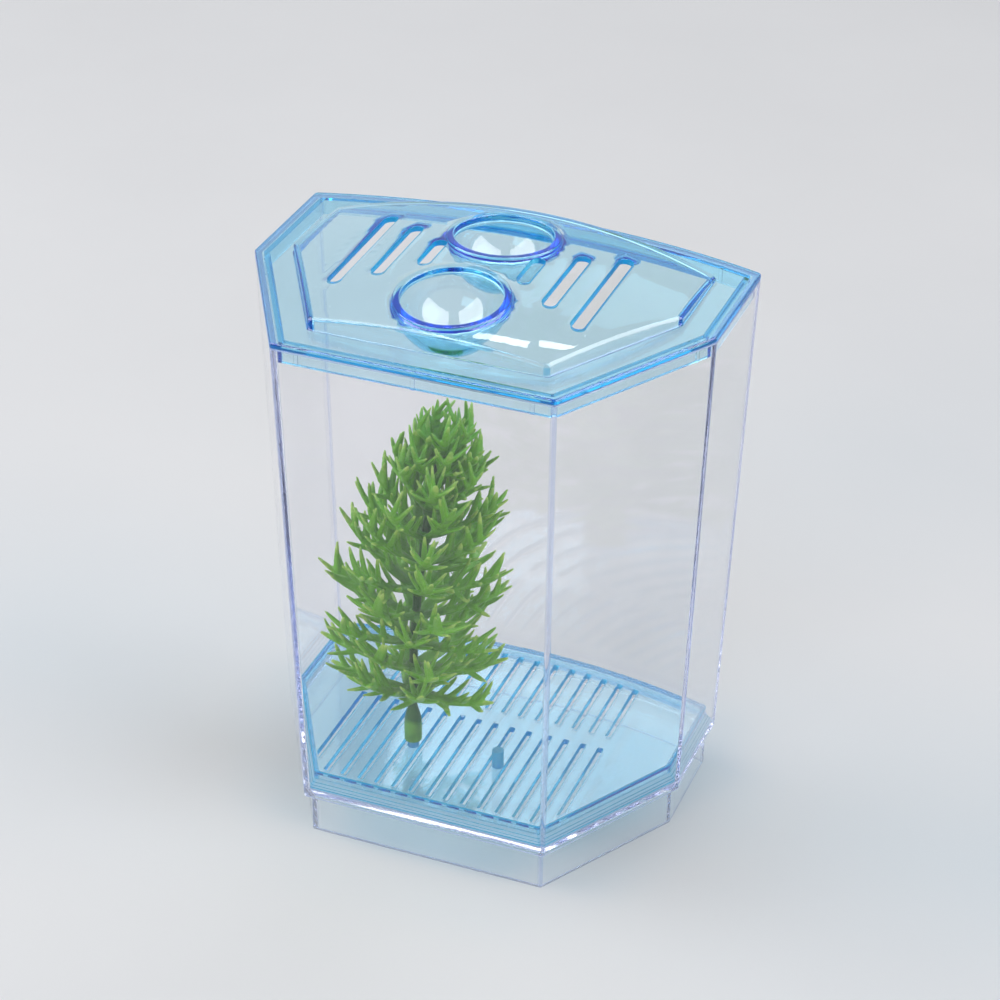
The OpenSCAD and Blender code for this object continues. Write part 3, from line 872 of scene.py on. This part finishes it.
def leaf_plastic(name, deep, mid, tip):
    """Soft moulded plastic: darker at the stem, yellower towards the tips."""
    n = Nodes(name)
    patch, grain = n.noise(140, 4, 0.6), n.noise(2600, 3, 0.6)
    along = n.add("ShaderNodeAttribute", attribute_name="along")
    mixed = n.math("ADD", along.outputs["Fac"], n.span(patch, -0.16, 0.16))
    colour = n.ramp(mixed, [(0.0, deep), (0.4, mid), (0.78, mid), (1.0, tip)])
    p = n.add("ShaderNodeBsdfPrincipled")
    n.link(colour, p.inputs["Base Color"])
    n.link(n.span(grain, 0.32, 0.5), p.inputs["Roughness"])
    p.inputs["Specular IOR Level"].default_value = 0.33
    n.link(n.bump(grain, 0.00004, 0.5, n.bump(patch, 0.0002, 0.3)), p.inputs["Normal"])
    n.link(p.outputs["BSDF"], n.out.inputs["Surface"])
    return n.mat


def floor_paper():
    n = Nodes("floor_paper")
    p = n.add("ShaderNodeBsdfPrincipled")
    n.link(n.ramp(n.noise(6, 4), [(0.3, (0.80, 0.80, 0.81)), (0.7, (0.83, 0.83, 0.84))]),
           p.inputs["Base Color"])
    p.inputs["Roughness"].default_value = 0.7
    p.inputs["Specular IOR Level"].default_value = 0.0
    n.link(n.bump(n.noise(700, 3), 0.0001, 0.3), p.inputs["Normal"])
    n.link(p.outputs["BSDF"], n.out.inputs["Surface"])
    return n.mat


# ---------------------------------------------------------------- put it together
def dress(obj, mat, body, slot, *nodes):
    """Gives a piece its material and body, and hides the CAD nodes it stands for. The slot is not
    used.
    """
    obj.data.materials.clear()
    obj.data.materials.append(mat)
    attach(obj, body)
    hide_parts(*nodes)
    return obj


# each plastic's edge colours are a painted glow and a pale painted highlight
clear = clear_plastic(
    "clear_styrene", tint=(0.985, 0.985, 0.995), glow_colour=(0.66, 0.71, 0.95),
    highlight_colour=(0.84, 0.85, 0.97), glow=0.5, depth_tint=(0.72, 0.76, 0.98), density=9.0,
    shade=(0.955, 0.96, 0.965), specks=0.25)
blue = clear_plastic(
    "blue_styrene", tint=(0.96, 0.985, 0.995), glow_colour=(0.04, 0.66, 0.95),
    highlight_colour=(0.72, 0.9, 1.0), glow=0.55, depth_tint=(0.035, 0.74, 0.95), density=215.0,
    shade=(0.85, 0.93, 0.97), specks=0.3)
leaf = leaf_plastic("leaf_vinyl", (0.04, 0.2, 0.008), (0.16, 0.46, 0.012), (0.46, 0.66, 0.12))
stem = leaf_plastic("stem_vinyl", (0.018, 0.11, 0.02), (0.022, 0.13, 0.022), (0.15, 0.4, 0.05))

dress(make_tank(), clear, "tank", "clear_tank", "tank")
dress(make_lid(), blue, "lid", "blue_lid", "lid")
dress(make_tray(), blue, "tray", "blue_tray", "floor_tray")
dress(make_stem(), stem, "plant", "stem_green", "plant_stem")
seeded = random.Random(7)
for tier in range(TIER_N + 1):
    node = "leaf_tip" if tier == TIER_N else "leaf_tier_%d" % (tier + 1)
    dress(make_whorl(tier, seeded), leaf, "plant", "leaf_green", node)

# ---------------------------------------------------------------- studio
bpy.ops.mesh.primitive_grid_add(x_subdivisions=8, y_subdivisions=8, size=9)
floor = bpy.context.object
floor.name = "studio_floor"
floor.data.materials.append(floor_paper())


def lamp(name, at, aim, size, power):
    data = bpy.data.lights.new(name, "AREA")
    data.shape = "RECTANGLE"
    data.size, data.size_y = size
    data.energy = power
    obj = bpy.data.objects.new(name, data)
    obj.location = at
    obj.rotation_euler = (Vector(aim) - Vector(at)).to_track_quat("-Z", "Y").to_euler()
    bpy.context.scene.collection.objects.link(obj)
    return obj


for name, at, size, power in (
        ("softbox_left", (-1.15, -0.15, 1.35), (0.9, 0.9), 11),
        ("softbox_right", (1.2, -0.05, 1.35), (0.9, 0.9), 10),
        ("softbox_front", (-0.45, -1.5, 1.15), (0.8, 0.6), 8),
        ("softbox_back", (0.1, 1.5, 1.2), (1.6, 0.5), 4)):
    lamp(name, at, (0, 0, 0.1), size, power).visible_glossy = False

# Two large cards beside the camera and two thin strips behind, seen only in reflections.
# Each is placed by its way to the camera's right, its way towards the camera and its height.
SIDEWAYS, NEAR, UP = Vector((0.9305, 0.3664, 0)), Vector((0.3664, -0.9305, 0)), Vector((0, 0, 1))
LID_TOP = Vector((0, 0, 0.18))


def card(name, at, size, power, face, along):
    """A light that faces away from the direction face, its length along the direction along."""
    obj = lamp(name, at, LID_TOP, size, power)
    obj.matrix_world = Matrix.Translation(at) @ Matrix(
        (along, face.cross(along), face)).transposed().to_4x4()
    obj.visible_diffuse = obj.visible_transmission = obj.visible_camera = False


for name, side, size, power in (
        ("card_right", 0.685, (1.58, 0.95), 31),
        ("card_left", -0.775, (1.45, 0.95), 29)):
    face = (SIDEWAYS * math.copysign(1, side) + UP).normalized()
    card(name, SIDEWAYS * side + NEAR * 0.125 + UP * 0.65, size, power, face, face.cross(NEAR))
for name, side, near, slant, size, power in (
        ("card_strip_long", -0.003, -0.712, 0.4, (0.2, 0.028), 0.18),
        ("card_strip_short", 0.158, -0.684, 0.1, (0.09, 0.028), 0.075)):
    at = SIDEWAYS * side + NEAR * near + UP
    along = (SIDEWAYS + NEAR * slant).normalized()
    face = (at - LID_TOP).normalized()
    face = (face - along * face.dot(along)).normalized()
    card(name, at, size, power, face, along)

# The pale background shows to the camera, directly, mirrored or through the plastic. What
# lights the object is a dimmer room.
world = bpy.data.worlds.new("studio")
bpy.context.scene.world = world
world.use_nodes = True
wt = world.node_tree
wt.nodes.clear()


def world_math(op, a, b):
    node = wt.nodes.new("ShaderNodeMath")
    node.operation = op
    wt.links.new(a, node.inputs[0])
    if isinstance(b, float):
        node.inputs[1].default_value = b
    else:
        wt.links.new(b, node.inputs[1])
    return node.outputs[0]


def background(colour, strength):
    node = wt.nodes.new("ShaderNodeBackground")
    node.inputs["Color"].default_value = (*colour, 1)
    node.inputs["Strength"].default_value = strength
    return node.outputs[0]


path = wt.nodes.new("ShaderNodeLightPath").outputs
# 1 for what the camera sees, also mirrored or through the plastic, before any diffuse bounce
seen_by = world_math("MAXIMUM", path["Is Camera Ray"], path["Is Transmission Ray"])
seen_by = world_math("MAXIMUM", seen_by, path["Is Glossy Ray"])
seen_by = world_math("MULTIPLY", seen_by, world_math("LESS_THAN", path["Diffuse Depth"], 0.5))
sky = wt.nodes.new("ShaderNodeMixShader")
wt.links.new(seen_by, sky.inputs["Fac"])
wt.links.new(background((0.8, 0.83, 0.88), 0.35), sky.inputs[1])
wt.links.new(background((0.86, 0.86, 0.87), 1.0), sky.inputs[2])
wt.links.new(sky.outputs[0], wt.nodes.new("ShaderNodeOutputWorld").inputs["Surface"])

# The camera was fitted to the corners of the box in the photo
cam_data = bpy.data.cameras.new("camera")
cam_data.sensor_width = 36
cam_data.lens = 100.02
cam_data.clip_start = 0.01
cam = bpy.data.objects.new("camera", cam_data)
right, up = Vector((0.9292, 0.3696, 0.0065)), Vector((-0.1999, 0.4875, 0.85))
ahead = Vector((-0.311, 0.791, -0.5268))
cam.matrix_world = Matrix.Translation((0.25983, -0.64533, 0.53331)) @ Matrix(
    (right, up, -ahead)).transposed().to_4x4()
scene = bpy.context.scene
scene.collection.objects.link(cam)
scene.camera = cam
scene.view_settings.view_transform = "Standard"
# A ray caught in a wall or an edge needs many bounces to find its way out
for key in ("max_bounces", "glossy_bounces", "transmission_bounces"):
    setattr(scene.cycles, key, 64)
